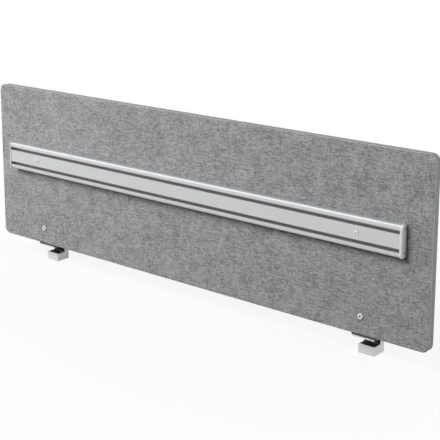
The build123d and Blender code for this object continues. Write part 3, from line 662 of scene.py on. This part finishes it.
def seam_tree(material, sizes):
    """Welt along a closed line, with a row of stitches laid over it."""
    group = bpy.data.node_groups.new("seam", "GeometryNodeTree")
    face = group.interface
    face.new_socket("Geometry", in_out="INPUT", socket_type="NodeSocketGeometry")
    sockets = {name: face.new_socket(name, in_out="INPUT", socket_type="NodeSocketFloat").identifier
               for name in sizes}
    face.new_socket("Geometry", in_out="OUTPUT", socket_type="NodeSocketGeometry")
    seam = Nodes(group)

    def given(name):
        return seam.node("NodeGroupInput", {}, {}, name)

    line = seam.node("GeometryNodeMeshToCurve", {}, {"Mesh": given("Geometry")})
    circle = seam.node("GeometryNodeCurvePrimitiveCircle", {}, {
        "Resolution": WELT_SIDES, "Radius": given("welt_radius")})
    welt = seam.node("GeometryNodeCurveToMesh", {}, {"Curve": line, "Profile Curve": circle})
    spaced = seam.node("GeometryNodeResampleCurve", {"mode": "LENGTH"}, {
        "Curve": line, "Length": given("stitch_pitch")})
    spots = seam.node("GeometryNodeCurveToPoints", {"mode": "EVALUATED"}, {"Curve": spaced})
    stitch = seam.node("GeometryNodeMeshCylinder", {}, {
        "Vertices": STITCH_SIDES, "Radius": given("stitch_radius"),
        "Depth": given("stitch_length")})
    stitches = seam.node("GeometryNodeInstanceOnPoints", {}, {
        "Points": spots, "Instance": stitch,
        "Rotation": Wire(seam, spots.socket.node.outputs["Rotation"])})
    both = seam.node("GeometryNodeJoinGeometry", {}, {"Geometry": welt})
    seam.links.new(stitches.socket, both.socket.node.inputs["Geometry"])
    real = seam.node("GeometryNodeRealizeInstances", {}, {"Geometry": both})
    coat = seam.node("GeometryNodeSetMaterial", {}, {"Geometry": real, "Material": material})
    end = seam.nodes.new("NodeGroupOutput")
    seam.links.new(coat.socket, end.inputs["Geometry"])
    return group, sockets


class SCREEN_OT_seams(bpy.types.Operator):
    """Front and rear seams of the side band"""
    bl_idname = "screen.seams"
    bl_label = "Seams"

    def execute(self, context):
        settings = context.scene.screen_seams
        material = seam_thread()
        sizes = {name: getattr(settings, name) for name in SeamSettings.__annotations__}
        tree, sockets = seam_tree(material, sizes)
        outline = outline_points(BAND_TUCK)
        count = len(outline)
        closed = [(k, (k + 1) % count) for k in range(count)]
        for name, depth in (("front_seam", BAND_FRONT), ("rear_seam", BAND_REAR)):
            line = mesh_object(name, [(x, depth, z) for x, z in outline], (), closed)
            modifier = line.modifiers.new("seam", "NODES")
            modifier.node_group = tree
            for size, value in sizes.items():
                modifier[sockets[size]] = value
            shown = line.evaluated_get(context.evaluated_depsgraph_get())
            baked = bpy.data.meshes.new_from_object(shown)
            line.modifiers.remove(modifier)
            line.data = baked
            finish_mesh(line, material)
        return {"FINISHED"}


# Rigid pieces

class SCREEN_OT_rail(bpy.types.Operator):
    """Finishes of the organiser rail, its caps and screws"""
    bl_idname = "screen.rail"
    bl_label = "Organiser rail"

    def execute(self, context):
        cap = moulded_grey("cap_plastic", level=222, roughness=0.3, silver=0.5)
        low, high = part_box("rail_screws")
        # Place and width of the painted shade in the rail screws' key sockets
        socket = (high.x - RAIL_HEAD_RADIUS, (low.z + high.z) / 2, low.y, RAIL_SOCKET_SHADE_WIDTH)
        screw = plated("bright_screw", level=238, roughness=0.2, metallic=0.8, socket=socket)
        dress("organiser_rail", satin_extrusion())
        for side in SIDES:
            dress(side + "rail_cap", cap)
        dress("rail_cap_screws", plated("cap_screw", level=206, roughness=0.3))
        dress("rail_screws", screw)
        dress("rail_inserts", turned_brass())
        return {"FINISHED"}


class SCREEN_OT_timber(bpy.types.Operator):
    """Finishes of the timber inside the panel"""
    bl_idname = "screen.timber"
    bl_label = "Timber"

    def execute(self, context):
        wood = softwood()
        for node in ("frame_bottom_rail", "frame_top_rail", "frame_left_stile",
                     "frame_right_stile", "frame_dowels", "rail_batten",
                     "left_clamp_block", "right_clamp_block"):
            dress(node, wood)
        return {"FINISHED"}


class SCREEN_OT_clamps(bpy.types.Operator):
    """Finishes of the two clamps and rounded rubber pads"""
    bl_idname = "screen.clamps"
    bl_label = "Clamps"

    def execute(self, context):
        bolt_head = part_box("right_through_bolt")[0].y
        # Place and width of the painted shade in the bolts' key sockets
        socket = (BOLTS[1].x, BOLTS[1].z, bolt_head, BOLT_SOCKET_SHADE_WIDTH)
        bolt = plated("bolt_zinc", level=222, roughness=0.25, metallic=0.5, socket=socket)
        zinc = plated("bright_zinc", level=222, roughness=0.2)
        nickel = plated("nickel_washer", level=250, roughness=0.14, metallic=0.2)
        steel = plated("turned_steel", level=180, roughness=0.3)
        shell = moulded_grey("shell_plastic", level=233, roughness=0.36, silver=0.12)
        liner = dark_moulding("liner_plastic", level=24, roughness=0.5, grain_scale=1200.0)
        rubber = dark_moulding("rubber", level=20, roughness=0.75, grain_scale=420.0)
        packing = dark_moulding("packing_rubber", level=72, roughness=0.75, grain_scale=420.0)
        finishes = {
            "clamp_bracket": powder_coat(), "clamp_shell": shell, "clamp_liner": liner,
            "cup_washer": nickel, "through_bolt": bolt, "shell_screws": zinc,
            "rear_washer": zinc, "cap_nut": zinc, "jack_screw": zinc, "bolt_sleeve": steel,
            "pressure_plate": steel, "jack_nut": steel, "screw_clip": steel}
        for side in SIDES:
            for node, material in finishes.items():
                dress(side + node, material)
            for node, width, material, body in (
                    ("packer", 0.5 * MM, packing, "root"),
                    ("foot_pad", 0.3 * MM, rubber, "root"),
                    ("pressure_pad", 0.4 * MM, rubber, side + "pad")):
                softened_copy(side + node + "_rubber", side + node, width, material,
                              body)
        return {"FINISHED"}


# Studio

def area_lamp(name, power, width, depth, place, target, in_gloss):
    """Rectangular lamp that faces a target."""
    data = bpy.data.lights.new(name, "AREA")
    data.energy, data.shape = power, "RECTANGLE"
    data.size, data.size_y = width, depth
    lamp = in_scene(name, data)
    lamp.location = place
    lamp.rotation_euler = (Vector(target) - Vector(place)).to_track_quat("-Z", "Y").to_euler()
    lamp.visible_glossy = in_gloss


def seen_ray(tree):
    """1 on rays from the camera, straight or by gloss or glass, and 0 on the light's own."""
    camera, gloss, glass, scattered = (
        tree.node("ShaderNodeLightPath", {}, {}, name)
        for name in ("Is Camera Ray", "Is Glossy Ray", "Is Transmission Ray", "Diffuse Depth"))
    return (camera + gloss + glass) * (1 - scattered.between(0, 1))


def pale_floor():
    """White floor that keeps the shadow near the screen and is plain white far off."""
    floor = Finish("pale_floor", Roughness=0.9, Specular_IOR_Level=0.0)
    near, away, white_near, white_gain = 0.25, 1.3, 0.88, 0.12
    seen = seen_ray(floor)
    floor.feed("Base Color", floor.blend(seen, (0.1, 0.1, 0.1), (0.8, 0.8, 0.8)))
    far = floor.distance(floor.stretched(0.6, 1.0, 1.0)).between(near, away)
    white = floor.node("ShaderNodeEmission", {}, {"Color": (1, 1, 1, 1), "Strength": 1.0})
    lit = Wire(floor, floor.shader.outputs[0])
    mixed = floor.node("ShaderNodeMixShader", {}, {
        0: seen * (white_near + white_gain * far), 1: lit, 2: white})
    floor.links.new(mixed.socket, floor.nodes["Material Output"].inputs["Surface"])
    return floor.material


def make_floor():
    """Wide level floor just under the clamps."""
    level = cad_box[0].z - FLOOR_GAP
    corners = [(x * FLOOR_HALF, y * FLOOR_HALF, level)
               for x, y in ((-1, -1), (1, -1), (1, 1), (-1, 1))]
    floor = mesh_object("floor", corners, [(0, 1, 2, 3)])
    floor.data.materials.append(pale_floor())


def make_world(level):
    """Even light of a low level, white where the camera or gloss sees it."""
    world = bpy.data.worlds.new("studio")
    bpy.context.scene.world = world
    world.use_nodes = True
    sky = Nodes(world.node_tree)
    strength = level + (1 - level) * seen_ray(sky)
    dome = sky.node("ShaderNodeBackground", {}, {"Color": (1, 1, 1, 1), "Strength": strength})
    sky.links.new(dome.socket, sky.nodes["World Output"].inputs["Surface"])


def photo_camera():
    """Camera at the photograph's viewing angle."""
    data = bpy.data.cameras.new("camera")
    data.lens, data.sensor_width, data.shift_y = CAMERA_LENS, CAMERA_SENSOR, CAMERA_SHIFT
    flat_share = math.cos(CAMERA_TILT)
    forward = Vector((-math.sin(CAMERA_TURN) * flat_share, math.cos(CAMERA_TURN) * flat_share,
                      math.sin(CAMERA_TILT)))
    right = Vector((math.cos(CAMERA_TURN), math.sin(CAMERA_TURN), 0))
    up = right.cross(forward)
    rolled_right = math.cos(CAMERA_ROLL) * right + math.sin(CAMERA_ROLL) * up
    rolled_up = math.cos(CAMERA_ROLL) * up - math.sin(CAMERA_ROLL) * right
    pose = Matrix((rolled_right, rolled_up, -forward)).transposed().to_4x4()
    pose.translation = CAMERA_PLACE
    camera = in_scene("camera", data)
    camera.matrix_world = pose
    return camera


class SCREEN_OT_studio(bpy.types.Operator):
    """Floor, world, lamps and the camera"""
    bl_idname = "screen.studio"
    bl_label = "Studio"

    def execute(self, context):
        scene, settings = context.scene, context.scene.screen_studio
        make_floor()
        make_world(settings.world_level)
        for name, layout in LAMPS.items():
            area_lamp(name + "_lamp", getattr(settings, name + "_power"), *layout)
        scene.camera = photo_camera()
        scene.view_settings.view_transform = "Standard"
        return {"FINISHED"}


# Sidebar and steps

STEPS = ("studio", "cloth_faces", "side_band", "inner_layers", "seams", "rail", "timber",
         "clamps")
SETTINGS = {"screen_cloth": ClothSettings, "screen_seams": SeamSettings,
            "screen_studio": StudioSettings}


class SCREEN_PT_sidebar(bpy.types.Panel):
    """Settings and steps of the desk screen"""
    bl_idname = "SCREEN_PT_sidebar"
    bl_label = "Acoustic desk screen"
    bl_space_type = "VIEW_3D"
    bl_region_type = "UI"
    bl_category = "Screen"

    def draw(self, context):
        for name, group in SETTINGS.items():
            box = self.layout.box()
            for setting in group.__annotations__:
                box.prop(getattr(context.scene, name), setting)
        for step in STEPS:
            self.layout.operator("screen." + step)


CLASSES = (*SETTINGS.values(), SCREEN_OT_studio, SCREEN_OT_cloth_faces, SCREEN_OT_side_band,
           SCREEN_OT_inner_layers, SCREEN_OT_seams, SCREEN_OT_rail, SCREEN_OT_timber,
           SCREEN_OT_clamps, SCREEN_PT_sidebar)


def register():
    for kind in CLASSES:
        bpy.utils.register_class(kind)
    for name, group in SETTINGS.items():
        setattr(bpy.types.Scene, name, bpy.props.PointerProperty(type=group))


def unregister():
    for name in SETTINGS:
        delattr(bpy.types.Scene, name)
    for kind in reversed(CLASSES):
        bpy.utils.unregister_class(kind)


def main():
    register()
    for step in STEPS:
        getattr(bpy.ops.screen, step)()


if __name__ == "__main__":
    main()
